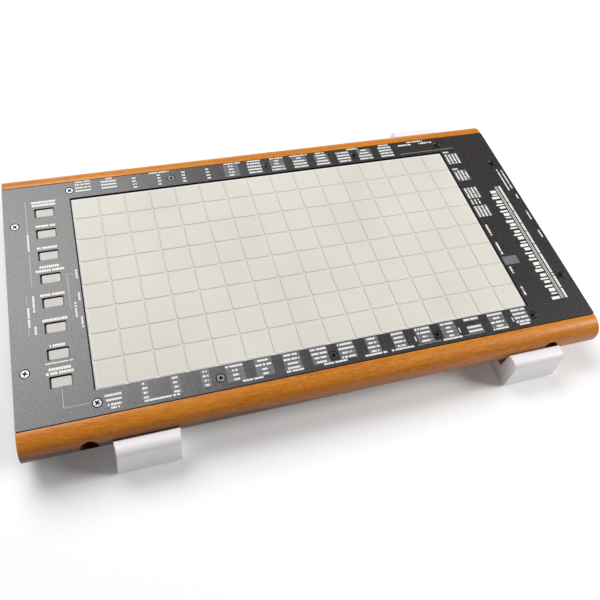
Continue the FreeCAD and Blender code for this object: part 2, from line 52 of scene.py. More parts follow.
# ---------------------------------------------------------------- camera
# A close three-quarter view from above the front left corner, tipped a little to one side.

lens = bpy.data.cameras.new("camera")
lens.sensor_width = 36.0
lens.lens = 40.9
lens.shift_x = 0.058
lens.shift_y = -0.133
camera = bpy.data.objects.new("camera", lens)
bpy.context.scene.collection.objects.link(camera)
heading, look_down, tip = (math.radians(angle) for angle in (23.88, 51.30, 10.88))
camera.matrix_world = (Matrix.Translation((-0.1440, -0.2596, 0.4345))
                       @ Matrix.Rotation(-heading, 4, "Z")
                       @ Matrix.Rotation(math.pi / 2 - look_down, 4, "X")
                       @ Matrix.Rotation(tip, 4, "Z"))
bpy.context.scene.camera = camera

# ---------------------------------------------------------------- folded steel tray
# The tray is 1.5 mm steel sheet, folded into a floor and four walls and powder coated black.
# Its walls show at the two ends of the keyboard, and its floor from below.


def colour(code):
    """An sRGB hex colour as the linear colour that the shaders take."""
    channels = [int(code[i:i + 2], 16) / 255 for i in (1, 3, 5)]
    linear = [c / 12.92 if c <= 0.04045 else ((c + 0.055) / 1.055) ** 2.4 for c in channels]
    return (*linear, 1.0)


def new_material(name):
    """An empty node material and its tree."""
    material = bpy.data.materials.new(name)
    material.use_nodes = True
    material.node_tree.nodes.clear()
    return material, material.node_tree


def add(tree, kind, inputs=None, **settings):
    """Adds a node. Each input is a value, or a pair of another node and the output it comes from."""
    node = tree.nodes.new("ShaderNode" + kind)
    for name, value in settings.items():
        setattr(node, name, value)
    for socket, value in (inputs or {}).items():
        if isinstance(value, tuple) and isinstance(value[0], bpy.types.Node):
            tree.links.new(value[0].outputs[value[1]], node.inputs[socket])
        else:
            node.inputs[socket].default_value = value
    return node


def dress(material, *names):
    """Gives a finish to CAD nodes that keep their own shape."""
    for name in names:
        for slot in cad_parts[name].material_slots:
            slot.material = material


# Black powder coat on steel: an even satin black with the faint ripple of baked powder.
tray_coat, tree = new_material("black powder coat on folded steel")
place = add(tree, "TexCoord")
ripple = add(tree, "TexNoise", {"Vector": (place, "Object"), "Scale": 1 / (1.1 * MM), "Detail": 3.0})
shine = add(tree, "MapRange", {"Value": (ripple, "Fac"), "To Min": 0.42, "To Max": 0.60})
relief = add(tree, "Bump", {"Height": (ripple, "Fac"), "Strength": 0.5, "Distance": 0.06 * MM})
coat = add(tree, "BsdfPrincipled", {"Base Color": colour("#1D1D1E"), "Roughness": (shine, "Result"),
                                    "Normal": (relief, "Normal")})
add(tree, "OutputMaterial", {"Surface": (coat, "BSDF")})
dress(tray_coat, "base_tray")

# ---------------------------------------------------------------- pillars, screws and support plate
# Turned steel pillars are riveted to the tray's floor and carry the panel, the support plate and the
# boards. Plain pan-head steel screws hold the boards, the plate, the feet and the wooden rails.

# Bright zinc plate on steel: cold grey metal with a slightly cloudy, uneven shine.
zinc, tree = new_material("bright zinc plate on steel")
place = add(tree, "TexCoord")
cloud = add(tree, "TexNoise", {"Vector": (place, "Object"), "Scale": 1 / (2.5 * MM), "Detail": 4.0})
shine = add(tree, "MapRange", {"Value": (cloud, "Fac"), "To Min": 0.22, "To Max": 0.42})
tint = add(tree, "Mix", {"Factor": (cloud, "Fac"), 6: colour("#A9ACAF"), 7: colour("#C9CBCA")},
           data_type="RGBA")
metal = add(tree, "BsdfPrincipled", {"Base Color": (tint, 2), "Metallic": 1.0,
                                     "Roughness": (shine, "Result")})
add(tree, "OutputMaterial", {"Surface": (metal, "BSDF")})
dress(zinc, "panel_standoffs", "plate_standoffs", "main_board_standoffs", "key_board_standoffs",
      "plate_screws", "board_screws", "rail_screws", "foot_screws")

# Rolled aluminium sheet: long straight mill lines, paler and softer than the zinc.
rolled_aluminium, tree = new_material("rolled aluminium sheet")
place = add(tree, "TexCoord")
along = add(tree, "Mapping", {"Vector": (place, "Object"), "Scale": (1 / (30 * MM), 1 / (0.4 * MM), 1.0)})
mill_lines = add(tree, "TexNoise", {"Vector": (along, "Vector"), "Scale": 1.0, "Detail": 2.0})
shine = add(tree, "MapRange", {"Value": (mill_lines, "Fac"), "To Min": 0.28, "To Max": 0.48})
metal = add(tree, "BsdfPrincipled", {"Base Color": colour("#C4C6C8"), "Metallic": 1.0,
                                     "Roughness": (shine, "Result")})
add(tree, "OutputMaterial", {"Surface": (metal, "BSDF")})
dress(rolled_aluminium, "support_plate")

# ---------------------------------------------------------------- circuit boards and what they carry
# Fibreglass boards carry the lights, the switches, the processor and the jacks. They are closed in
# between the tray and the panel, so they show only when the keyboard is opened.

# Green solder mask on fibreglass: a glossy green film, paler where it runs over copper tracks.
solder_mask, tree = new_material("green solder mask on fibreglass")
place = add(tree, "TexCoord")
tracks = add(tree, "TexVoronoi", {"Vector": (place, "Object"), "Scale": 1 / (4.0 * MM)},
             distance="MANHATTAN", feature="DISTANCE_TO_EDGE")
track_edge = add(tree, "MapRange", {"Value": (tracks, "Distance"), "From Min": 0.06, "From Max": 0.10})
tint = add(tree, "Mix", {"Factor": (track_edge, "Result"), 6: colour("#2F7A4A"), 7: colour("#12502F")},
           data_type="RGBA")
mask = add(tree, "BsdfPrincipled", {"Base Color": (tint, 2), "Roughness": 0.3, "Coat Weight": 0.3})
add(tree, "OutputMaterial", {"Surface": (mask, "BSDF")})
dress(solder_mask, "light_board", "key_board", "main_board")

# Moulded black nylon and epoxy: matt black with a fine spark-eroded grain.
black_moulding, tree = new_material("moulded black nylon")
place = add(tree, "TexCoord")
grain = add(tree, "TexNoise", {"Vector": (place, "Object"), "Scale": 1 / (0.35 * MM), "Detail": 2.0})
relief = add(tree, "Bump", {"Height": (grain, "Fac"), "Strength": 0.4, "Distance": 0.03 * MM})
nylon = add(tree, "BsdfPrincipled", {"Base Color": colour("#161617"), "Roughness": 0.5,
                                     "Normal": (relief, "Normal")})
add(tree, "OutputMaterial", {"Surface": (nylon, "BSDF")})
dress(black_moulding, "processor", "board_connectors", "key_switches")

# Aluminium capacitor cans: bright drawn metal with fine rings up the side.
can_metal, tree = new_material("drawn aluminium can")
place = add(tree, "TexCoord")
rings = add(tree, "TexWave", {"Vector": (place, "Object"), "Scale": 1 / (6 * MM), "Distortion": 0.5},
            bands_direction="Z")
shine = add(tree, "MapRange", {"Value": (rings, "Fac"), "To Min": 0.2, "To Max": 0.36})
metal = add(tree, "BsdfPrincipled", {"Base Color": colour("#D3D4D4"), "Metallic": 1.0,
                                     "Roughness": (shine, "Result")})
add(tree, "OutputMaterial", {"Surface": (metal, "BSDF")})
dress(can_metal, "board_components")

# Light-emitting diodes in white moulded cases: milky and slightly glossy, yellower over the phosphor.
led_case, tree = new_material("white diode case")
place = add(tree, "TexCoord")
milk = add(tree, "TexNoise", {"Vector": (place, "Object"), "Scale": 1 / (1.5 * MM)})
tint = add(tree, "Mix", {"Factor": (milk, "Fac"), 6: colour("#F2EFDA"), 7: colour("#FBFAF4")},
           data_type="RGBA")
case = add(tree, "BsdfPrincipled", {"Base Color": (tint, 2), "Roughness": 0.35})
add(tree, "OutputMaterial", {"Surface": (case, "BSDF")})
dress(led_case, "pad_lights")

# Polyester ribbon: a cream film, with grey printed conductors every millimetre across its width.
ribbon_film, tree = new_material("polyester ribbon with printed conductors")
place = add(tree, "TexCoord")
conductors = add(tree, "TexWave", {"Vector": (place, "Object"), "Scale": 1 / (20 * MM / math.pi)},
                 bands_direction="Y")
line_edge = add(tree, "MapRange", {"Value": (conductors, "Fac"), "From Min": 0.45, "From Max": 0.55})
tint = add(tree, "Mix", {"Factor": (line_edge, "Result"), 6: colour("#E4DDCB"), 7: colour("#8C8F92")},
           data_type="RGBA")
film = add(tree, "BsdfPrincipled", {"Base Color": (tint, 2), "Roughness": 0.32})
add(tree, "OutputMaterial", {"Surface": (film, "BSDF")})
dress(ribbon_film, "sensor_ribbon", "light_ribbon", "key_ribbon")

# ---------------------------------------------------------------- jacks
# Four board-mounted sockets come through the tray's right wall: pedals, USB, MIDI and power.
# Three are moulded black nylon, and the USB socket is a folded tinned shell.

dress(black_moulding, "pedal_jack", "midi_jack", "power_jack")

# Tinned steel: soft bright grey with fine rolling lines.
tinned_steel, tree = new_material("tinned steel shell")
place = add(tree, "TexCoord")
along = add(tree, "Mapping", {"Vector": (place, "Object"),
                              "Scale": (1 / (8 * MM), 1 / (0.3 * MM), 1 / (0.3 * MM))})
rolling = add(tree, "TexNoise", {"Vector": (along, "Vector"), "Scale": 1.0})
shine = add(tree, "MapRange", {"Value": (rolling, "Fac"), "To Min": 0.2, "To Max": 0.38})
metal = add(tree, "BsdfPrincipled", {"Base Color": colour("#BDBFC1"), "Metallic": 1.0,
                                     "Roughness": (shine, "Result")})
add(tree, "OutputMaterial", {"Surface": (metal, "BSDF")})
dress(tinned_steel, "usb_jack")

# ---------------------------------------------------------------- wooden rails
# Two full-length cherry rails are screwed on from inside the tray, one along the front and one along
# the back. Each is planed flat inside and half round outside, sanded and oiled, and the front one has
# two blind holes bored in its face.

CLOSE = 0.01 * MM        # how near two heights or places are to be taken as the same


def finish_piece(name, shape, material, body, replaced):
    """Turns a bmesh into a finished piece that rides on a body and stands for CAD nodes."""
    bmesh.ops.recalc_face_normals(shape, faces=shape.faces)
    mesh = bpy.data.meshes.new(name)
    shape.to_mesh(mesh)
    shape.free()
    mesh.materials.append(material)
    mesh.polygons.foreach_set("use_smooth", [True] * len(mesh.polygons))
    mesh.set_sharp_from_angle(angle=math.radians(32))
    piece = bpy.data.objects.new(name, mesh)
    bpy.context.scene.collection.objects.link(piece)
    even = piece.modifiers.new("even shading", "WEIGHTED_NORMAL")
    even.keep_sharp = True
    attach(piece, body)
    if replaced:
        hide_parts(*replaced)


def edges_where(shape, test):
    """The edges whose two ends pass a test."""
    return [edge for edge in shape.edges if all(test(vert.co) for vert in edge.verts)]


def soften(shape, edges, radius, segments):
    """Rounds edges over."""
    bmesh.ops.bevel(shape, geom=edges, affect="EDGES", offset=radius, segments=segments, profile=0.5,
                    material=-1, clamp_overlap=True)


def block_between(low, high):
    """A box between two corners."""
    shape = bmesh.new()
    bmesh.ops.create_cube(shape, size=1.0)
    bmesh.ops.scale(shape, vec=high - low, verts=shape.verts)
    bmesh.ops.translate(shape, vec=(high + low) / 2, verts=shape.verts)
    return shape


def as_object(shape):
    """A loose object made from a bmesh, for the Boolean that bores the holes."""
    mesh = bpy.data.meshes.new("blank")
    shape.to_mesh(mesh)
    shape.free()
    blank = bpy.data.objects.new("blank", mesh)
    bpy.context.scene.collection.objects.link(blank)
    return blank


def with_holes(shape, centres):
    """Bores a blind round hole into a shape's front face at each centre."""
    board = as_object(shape)
    cutters = []
    for centre in centres:
        drill = bmesh.new()
        bmesh.ops.create_cone(drill, cap_ends=True, segments=48, radius1=HOLE_RADIUS, radius2=HOLE_RADIUS,
                              depth=2 * HOLE_DEPTH,
                              matrix=Matrix.Translation(centre) @ Matrix.Rotation(math.radians(90), 4, "X"))
        cutters.append(as_object(drill))
        cut = board.modifiers.new("hole", "BOOLEAN")
        cut.operation, cut.solver, cut.object = "DIFFERENCE", "EXACT", cutters[-1]
    bored = bmesh.new()
    bored.from_object(board, bpy.context.evaluated_depsgraph_get())
    for blank in [board] + cutters:
        bpy.data.objects.remove(blank)
    return bored


# Oiled cherry: orange-brown, darker and redder along the growth lines, full of short pale and dark
# flecks that run with the grain, and a low sheen from the oil. The lower side of the board is
# darkened towards its left end with painted shade, wavering with the figure.
cherry, tree = new_material("oiled cherry")
place = add(tree, "TexCoord")
growth = add(tree, "Mapping", {"Vector": (place, "Object"),
                               "Scale": (1 / (90 * MM), 1 / (5 * MM), 1 / (5 * MM))})
figure = add(tree, "TexNoise", {"Vector": (growth, "Vector"), "Scale": 1.0, "Detail": 4.0,
                                "Distortion": 0.6})
wood = add(tree, "Mix", {"Factor": (figure, "Fac"), 6: colour("#A25A12"), 7: colour("#E4902A")},
           data_type="RGBA")
run = add(tree, "Mapping", {"Vector": (place, "Object"),
                            "Scale": (1 / (5 * MM), 1 / (0.8 * MM), 1 / (0.8 * MM))})
pores = add(tree, "TexNoise", {"Vector": (run, "Vector"), "Scale": 1.0, "Detail": 3.0, "Roughness": 0.6})
pore_edge = add(tree, "MapRange", {"Value": (pores, "Fac"), "From Min": 0.54, "From Max": 0.68,
                                   "To Max": 0.40})
with_pores = add(tree, "Mix", {"Factor": (pore_edge, "Result"), 6: (wood, 2), 7: colour("#7A3712")},
                 data_type="RGBA")
fleck_edge = add(tree, "MapRange", {"Value": (pores, "Fac"), "From Min": 0.44, "From Max": 0.30,
                                    "To Max": 0.45})
with_flecks = add(tree, "Mix", {"Factor": (fleck_edge, "Result"), 6: (with_pores, 2),
                                7: colour("#F0A54C")}, data_type="RGBA")
axes = add(tree, "SeparateXYZ", {"Vector": (place, "Object")})
rail_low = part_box("front_rail")[0]
# Painted shade: the lower side of the rails, towards the left end, is darkened where shade falls.
low_half = add(tree, "MapRange", {"Value": (axes, "Z"), "From Min": rail_low.z + 22 * MM,
                                  "From Max": rail_low.z + 13 * MM, "To Max": 1.0})
left_half = add(tree, "MapRange", {"Value": (axes, "X"), "From Min": 170 * MM, "From Max": -130 * MM,
                                   "To Min": 0.3, "To Max": 1.0})
waver = add(tree, "Math", {0: (figure, "Fac"), 1: 2.0}, operation="MULTIPLY")
painted_shade_run = add(tree, "Math", {0: (low_half, "Result"), 1: (left_half, "Result")}, operation="MULTIPLY")
painted_shade = add(tree, "Math", {0: (painted_shade_run, "Value"), 1: (waver, "Value")}, operation="MULTIPLY",
            use_clamp=True)
with_painted_shade = add(tree, "Mix", {"Factor": (painted_shade, "Value"), 6: (with_flecks, 2), 7: colour("#431A0A")},
                 data_type="RGBA")
relief = add(tree, "Bump", {"Height": (pores, "Fac"), "Strength": 0.35, "Distance": 0.08 * MM})
oil = add(tree, "BsdfPrincipled", {"Base Color": (with_painted_shade, 2), "Roughness": 0.42,
                                   "Specular IOR Level": 0.3, "Coat Weight": 0.2, "Coat Roughness": 0.15,
                                   "Normal": (relief, "Normal")})
add(tree, "OutputMaterial", {"Surface": (oil, "BSDF")})

ROUND_OVER = 11.6 * MM
END_ROUND = 1.0 * MM
HOLE_RADIUS = 5.7 * MM
HOLE_DEPTH = 7.5 * MM
HOLE_X = 160 * MM

for name in ("front_rail", "rear_rail"):
    low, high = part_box(name)
    outer = low.y if name == "front_rail" else high.y
    inner = low.y + high.y - outer
    rail = block_between(low, high)
    long_edges = [edge for edge in edges_where(rail, lambda co: abs(co.y - outer) < CLOSE)
                  if abs(edge.verts[0].co.z - edge.verts[1].co.z) < CLOSE]
    soften(rail, long_edges, ROUND_OVER, 16)
    end_edges = [edge for edge in edges_where(rail, lambda co: abs(abs(co.x) - high.x) < CLOSE)
                 if any(abs(vert.co.y - inner) > CLOSE for vert in edge.verts)]
    soften(rail, end_edges, END_ROUND, 4)
    if name == "front_rail":
        middle_height = (low.z + high.z) / 2
        rail = with_holes(rail, [Vector((x, outer, middle_height)) for x in (-HOLE_X, HOLE_X)])
    finish_piece("cherry_" + name, rail, cherry, "instrument", [name])

# ---------------------------------------------------------------- rubber feet
# Four moulded rubber feet are screwed under the tray for use without the stands. Each is a low
# round button with a recess for its screw.

# Moulded black rubber: deep matt black, a little dusty in its grain.
rubber, tree = new_material("moulded black rubber")
place = add(tree, "TexCoord")
dust = add(tree, "TexNoise", {"Vector": (place, "Object"), "Scale": 1 / (0.8 * MM), "Detail": 4.0})
tint = add(tree, "Mix", {"Factor": (dust, "Fac"), 6: colour("#141414"), 7: colour("#232221")},
           data_type="RGBA")
relief = add(tree, "Bump", {"Height": (dust, "Fac"), "Strength": 0.5, "Distance": 0.04 * MM})
skin = add(tree, "BsdfPrincipled", {"Base Color": (tint, 2), "Roughness": 0.78,
                                    "Normal": (relief, "Normal")})
add(tree, "OutputMaterial", {"Surface": (skin, "BSDF")})
dress(rubber, "rubber_feet")

# ---------------------------------------------------------------- sensing stack
# Under the playing surface lie the force-sensing film and a white spacer with a light well under
# each pad. Both are sheets with the playing surface's outline.

# Printed sensing film: black carbon lines on a clear amber sheet, one line for every row of pads.
printed_film, tree = new_material("carbon printed sensing film")
place = add(tree, "TexCoord")
bars = add(tree, "TexWave", {"Vector": (place, "Object"), "Scale": 1 / (20 * 19 * MM / math.pi)},
           bands_direction="Y")
tint = add(tree, "Mix", {"Factor": (bars, "Fac"), 6: colour("#3A3026"), 7: colour("#121212")},
           data_type="RGBA")
film = add(tree, "BsdfPrincipled", {"Base Color": (tint, 2), "Roughness": 0.35})
add(tree, "OutputMaterial", {"Surface": (film, "BSDF")})
dress(printed_film, "sensor_film")

# White moulded ABS: clean matt white with a faint moulding grain, to spread the light.
white_abs, tree = new_material("moulded white plastic")
place = add(tree, "TexCoord")
grain = add(tree, "TexNoise", {"Vector": (place, "Object"), "Scale": 1 / (0.6 * MM)})
relief = add(tree, "Bump", {"Height": (grain, "Fac"), "Strength": 0.3, "Distance": 0.03 * MM})
plastic = add(tree, "BsdfPrincipled", {"Base Color": colour("#F1F0EC"), "Roughness": 0.5,
                                       "Normal": (relief, "Normal")})
add(tree, "OutputMaterial", {"Surface": (plastic, "BSDF")})
dress(white_abs, "spacer_grid")

# ---------------------------------------------------------------- playing surface
# One sheet of translucent off-white silicone: 16 by 8 soft pads, each slightly crowned, divided by
# shallow moulded grooves, and a thin border that the panel clamps all round.

COLUMNS, ROWS = 16, 8
sheet_low, sheet_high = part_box("playing_surface")
BORDER = 3.5 * MM
PITCH = (sheet_high.x - sheet_low.x - 2 * BORDER) / COLUMNS
GROOVE_FLOOR = sheet_high.z - 0.6 * MM
BORDER_TOP = sheet_low.z + 1.5 * MM
GROOVE_HALF = 0.8 * MM
PAD_RISE = 0.40 * MM
PAD_CORNER = 1.5 * MM
PAD_ROUND = 0.34 * MM
PAD_SLOPE = 0.1 * MM
CROWN_STEPS = ((2.6 * MM, 0.06 * MM), (2.4 * MM, 0.03 * MM))


def round_corners(shape, foot, rim_height, corner, rim_round):
    """Rounds a raised pad: its four upright edges first, then the rim of its top."""
    uprights = [edge for edge in shape.edges
                if min(vert.co.z for vert in edge.verts) > foot - CLOSE
                and max(vert.co.z for vert in edge.verts) < rim_height + CLOSE
                and abs(edge.verts[0].co.z - edge.verts[1].co.z) > (rim_height - foot) / 2]
    soften(shape, uprights, corner, 4)
    soften(shape, edges_where(shape, lambda co: abs(co.z - rim_height) < CLOSE), rim_round, 3)


sheet = bmesh.new()
bmesh.ops.create_grid(sheet, x_segments=1, y_segments=1, size=PITCH / 2,
                      matrix=Matrix.Translation((sheet_low.x + BORDER + PITCH / 2,
                                                 sheet_low.y + BORDER + PITCH / 2, GROOVE_FLOOR)))
pad_top = sheet.faces[:]
bmesh.ops.inset_region(sheet, faces=pad_top, thickness=GROOVE_HALF, use_boundary=True)
bmesh.ops.inset_region(sheet, faces=pad_top, thickness=PAD_SLOPE, depth=PAD_RISE)
for step_in, step_up in CROWN_STEPS:
    bmesh.ops.inset_region(sheet, faces=pad_top, thickness=step_in, depth=step_up)
round_corners(sheet, GROOVE_FLOOR, GROOVE_FLOOR + PAD_RISE, PAD_CORNER, PAD_ROUND)
one_pad = sheet.verts[:] + sheet.edges[:] + sheet.faces[:]
for column in range(COLUMNS):
    for row in range(ROWS):
        if column or row:
            another = bmesh.ops.duplicate(sheet, geom=one_pad)["geom"]
            bmesh.ops.translate(sheet, vec=(column * PITCH, row * PITCH, 0),
                                verts=[g for g in another if isinstance(g, bmesh.types.BMVert)])
bmesh.ops.remove_doubles(sheet, verts=sheet.verts, dist=CLOSE)


def extend_rim(shape, move, stretch=(1, 1, 1)):
    """Draws the open rim of a sheet on: down by a move, or outwards by a stretch about the centre."""
    rim_edges = [edge for edge in shape.edges if edge.is_boundary]
    drawn = bmesh.ops.extrude_edge_only(shape, edges=rim_edges)["geom"]
    verts = [g for g in drawn if isinstance(g, bmesh.types.BMVert)]
    bmesh.ops.scale(shape, vec=stretch, verts=verts)
    bmesh.ops.translate(shape, vec=move, verts=verts)


extend_rim(sheet, (0, 0, BORDER_TOP - GROOVE_FLOOR))
extend_rim(sheet, (0, 0, 0),
           (sheet_high.x / (sheet_high.x - BORDER), sheet_high.y / (sheet_high.y - BORDER), 1))
extend_rim(sheet, (0, 0, sheet_low.z - BORDER_TOP))
bmesh.ops.holes_fill(sheet, edges=[edge for edge in sheet.edges if edge.is_boundary], sides=0)

# Translucent silicone rubber: warm off-white with a matt skin, pinker in broad uneven patches, with
# painted shade a little darker down in the grooves and a painted highlight paler round its rim.
# The border under the panel is coloured black: painted shade for the dark gap round the pads.
silicone, tree = new_material("translucent silicone rubber")
place = add(tree, "TexCoord")
patches = add(tree, "TexNoise", {"Vector": (place, "Object"), "Scale": 1 / (45 * MM), "Detail": 1.0})
body_tint = add(tree, "Mix", {"Factor": (patches, "Fac"), 6: colour("#CCC7BE"), 7: colour("#D7D6CB")},
                data_type="RGBA")
axes = add(tree, "SeparateXYZ", {"Vector": (place, "Object")})
# Painted shade: the grooves between the pads are darkened.
groove_shade = add(tree, "MapRange", {"Value": (axes, "Z"), "From Min": GROOVE_FLOOR + 0.30 * MM,
                                   "From Max": GROOVE_FLOOR, "To Max": 0.12})
with_groove_shade = add(tree, "Mix", {"Factor": (groove_shade, "Result"), 6: (body_tint, 2), 7: colour("#A39D92")},
              data_type="RGBA")
side_x = add(tree, "Math", {0: (axes, "X")}, operation="ABSOLUTE")
side_y = add(tree, "Math", {0: (axes, "Y")}, operation="ABSOLUTE")
past_x = add(tree, "Math", {0: (side_x, "Value"), 1: COLUMNS * PITCH / 2}, operation="SUBTRACT")
past_y = add(tree, "Math", {0: (side_y, "Value"), 1: ROWS * PITCH / 2}, operation="SUBTRACT")
past_pads = add(tree, "Math", {0: (past_x, "Value"), 1: (past_y, "Value")}, operation="MAXIMUM")
# Painted highlight: the silicone is paler round the rim of the pads.
rim_highlight = add(tree, "MapRange", {"Value": (past_pads, "Value"), "From Min": -2.2 * MM, "From Max": -0.7 * MM,
                                  "To Max": 0.75})
with_rim_highlight = add(tree, "Mix", {"Factor": (rim_highlight, "Result"), 6: (with_groove_shade, 2), 7: colour("#E6E2E4")},
               data_type="RGBA")
# Painted shade: the border seen through the gap round the pads is coloured black.
border_gap_shade = add(tree, "MapRange", {"Value": (past_pads, "Value"), "From Min": -0.25 * MM,
                                   "From Max": -0.05 * MM})
tint = add(tree, "Mix", {"Factor": (border_gap_shade, "Result"), 6: (with_rim_highlight, 2), 7: colour("#060606")},
           data_type="RGBA")
skin_grain = add(tree, "TexNoise", {"Vector": (place, "Object"), "Scale": 1 / (0.5 * MM)})
relief = add(tree, "Bump", {"Height": (skin_grain, "Fac"), "Strength": 0.2, "Distance": 0.02 * MM})
rubber_skin = add(tree, "BsdfPrincipled",
                  {"Base Color": (tint, 2), "Roughness": 0.55, "IOR": 1.41, "Subsurface Weight": 0.12,
                   "Subsurface Radius": (1.0, 0.8, 0.6), "Subsurface Scale": 1.0 * MM,
                   "Normal": (relief, "Normal")})
add(tree, "OutputMaterial", {"Surface": (rubber_skin, "BSDF")})
finish_piece("silicone_playing_surface", sheet, silicone, "instrument", ["playing_surface"])

# ---------------------------------------------------------------- control keys
# Eight silicone key caps stand in a column on the left. Each is a rounded block with a thin flange
# that the panel keeps in and a stem that reaches down to its switch.

FLANGE_TOP = sheet_low.z + 1.4 * MM

# Moulded key silicone: paler and cooler than the playing surface, matt and even. Below the cap the
# flange is coloured black: painted shade for the dark gap round the cap.
key_silicone, tree = new_material("moulded key silicone")
place = add(tree, "TexCoord")
mottling = add(tree, "TexNoise", {"Vector": (place, "Object"), "Scale": 1 / (3 * MM)})
cap_tint = add(tree, "Mix", {"Factor": (mottling, "Fac"), 6: colour("#C0BCB6"), 7: colour("#CBC8C2")},
               data_type="RGBA")
height = add(tree, "SeparateXYZ", {"Vector": (place, "Object")})
# Painted shade: everything below the cap is coloured black.
cap_gap_shade = add(tree, "MapRange", {"Value": (height, "Z"), "From Min": FLANGE_TOP + 0.5 * MM,
                                   "From Max": FLANGE_TOP + 0.3 * MM})
tint = add(tree, "Mix", {"Factor": (cap_gap_shade, "Result"), 6: (cap_tint, 2), 7: colour("#060606")},
           data_type="RGBA")
relief = add(tree, "Bump", {"Height": (mottling, "Fac"), "Strength": 0.2, "Distance": 0.02 * MM})
cap_skin = add(tree, "BsdfPrincipled", {"Base Color": (tint, 2), "Roughness": 0.5, "IOR": 1.41,
                                        "Subsurface Weight": 0.15, "Subsurface Scale": 1.0 * MM,
                                        "Normal": (relief, "Normal")})
add(tree, "OutputMaterial", {"Surface": (cap_skin, "BSDF")})

FLANGE_THICK = 1.2 * MM
STEM_RADIUS = 1.8 * MM
STEM_OVERLAP = 0.2 * MM
CAP_SIZE = (12.4 * MM, 6.9 * MM)
CAP_SHIFT = (0.4 * MM, -0.3 * MM)      # the cap stands off the flange's centre
CAP_CORNER = 0.9 * MM
CAP_ROUND = 0.45 * MM
CROWN_IN, CROWN_UP = 1.6 * MM, 0.1 * MM

for number in range(1, 9):
    node = "control_key_%d" % number
    low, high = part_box(node)
    flange_under = FLANGE_TOP - FLANGE_THICK
    cap = block_between(Vector((low.x, low.y, flange_under)), Vector((high.x, high.y, FLANGE_TOP)))
    top = [face for face in cap.faces if face.normal.z > 0.9]
    middle = Vector(((low.x + high.x) / 2 + CAP_SHIFT[0], (low.y + high.y) / 2 + CAP_SHIFT[1], 0))
    cap_rim = high.z - CROWN_UP
    bmesh.ops.inset_region(cap, faces=top, thickness=1.0 * MM)
    for vert in top[0].verts:
        vert.co.x = middle.x + math.copysign(CAP_SIZE[0] / 2, vert.co.x - middle.x)
        vert.co.y = middle.y + math.copysign(CAP_SIZE[1] / 2, vert.co.y - middle.y)
    bmesh.ops.inset_region(cap, faces=top, thickness=0.02 * MM, depth=cap_rim - FLANGE_TOP)
    bmesh.ops.inset_region(cap, faces=top, thickness=CROWN_IN, depth=CROWN_UP)
    round_corners(cap, FLANGE_TOP, cap_rim, CAP_CORNER, CAP_ROUND)
    stem_height = flange_under + STEM_OVERLAP - low.z
    stem_middle = middle + Vector((0, 0, low.z + stem_height / 2))
    bmesh.ops.create_cone(cap, cap_ends=True, segments=24, radius1=STEM_RADIUS, radius2=STEM_RADIUS,
                          depth=stem_height, matrix=Matrix.Translation(stem_middle))
    finish_piece("key_cap_%d" % number, cap, key_silicone, "key_%d" % number, [node])

# ---------------------------------------------------------------- top panel
# One piece of 1.6 mm steel sheet with the playing window, the key holes and the countersunk screw
# holes cut in it. It is finished in a charcoal powder coat with a fine sparkle.

panel_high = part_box("top_panel")[1]

# Charcoal texture powder coat: dark grey with a pale speckle 0.6 mm across, near black in the holes
# and edges as painted shade, and a broad soft glare where it mirrors the large light.
charcoal, tree = new_material("charcoal powder coat on steel")
place = add(tree, "TexCoord")
speckle = add(tree, "TexNoise", {"Vector": (place, "Object"), "Scale": 1 / (0.6 * MM), "Detail": 1.0,
                                 "Roughness": 0.6})
speckle_edge = add(tree, "MapRange", {"Value": (speckle, "Fac"), "From Min": 0.42, "From Max": 0.62})
face_tint = add(tree, "Mix", {"Factor": (speckle_edge, "Result"), 6: colour("#121112"),
                              7: colour("#413D3B")}, data_type="RGBA")
height = add(tree, "SeparateXYZ", {"Vector": (place, "Object")})
# Painted shade: every face below the panel's top face is near black.
above_edge_shade = add(tree, "MapRange", {"Value": (height, "Z"), "From Min": panel_high.z - 0.08 * MM,
                                 "From Max": panel_high.z - 0.02 * MM})
tint = add(tree, "Mix", {"Factor": (above_edge_shade, "Result"), 6: colour("#0E0E0E"), 7: (face_tint, 2)},
           data_type="RGBA")
shine = add(tree, "MapRange", {"Value": (speckle, "Fac"), "To Min": 0.28, "To Max": 0.44})
sparkle = add(tree, "MapRange", {"Value": (speckle_edge, "Result"), "To Min": 0.75, "To Max": 1.0})
relief = add(tree, "Bump", {"Height": (speckle, "Fac"), "Strength": 0.8, "Distance": 0.10 * MM})
coat = add(tree, "BsdfPrincipled", {"Base Color": (tint, 2), "Roughness": (shine, "Result"),
                                    "Specular IOR Level": (sparkle, "Result"),
                                    "Normal": (relief, "Normal")})
add(tree, "OutputMaterial", {"Surface": (coat, "BSDF")})
dress(charcoal, "top_panel")

# ---------------------------------------------------------------- panel screws
# Fourteen countersunk M3 machine screws in black zinc, with a cross recess, hold the panel down.

# Black zinc on steel: rubbed to a mid grey on the flat of the head, which goes pale where it mirrors
# the light, and black in the recess and down the cone.
black_zinc, tree = new_material("black zinc plate on steel")
place = add(tree, "TexCoord")
haze = add(tree, "TexNoise", {"Vector": (place, "Object"), "Scale": 1 / (1.0 * MM), "Detail": 2.0})
shine = add(tree, "MapRange", {"Value": (haze, "Fac"), "To Min": 0.24, "To Max": 0.36})
height = add(tree, "SeparateXYZ", {"Vector": (place, "Object")})
screws_low, screws_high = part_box("panel_screws")
on_head = add(tree, "MapRange", {"Value": (height, "Z"), "From Min": screws_high.z - 0.12 * MM,
                                 "From Max": screws_high.z - 0.03 * MM})
tint = add(tree, "Mix", {"Factor": (on_head, "Result"), 6: colour("#0B0B0B"), 7: colour("#7E7D80")},
           data_type="RGBA")
metal = add(tree, "BsdfPrincipled", {"Base Color": (tint, 2), "Metallic": 1.0,
                                     "Roughness": (shine, "Result")})
add(tree, "OutputMaterial", {"Surface": (metal, "BSDF")})

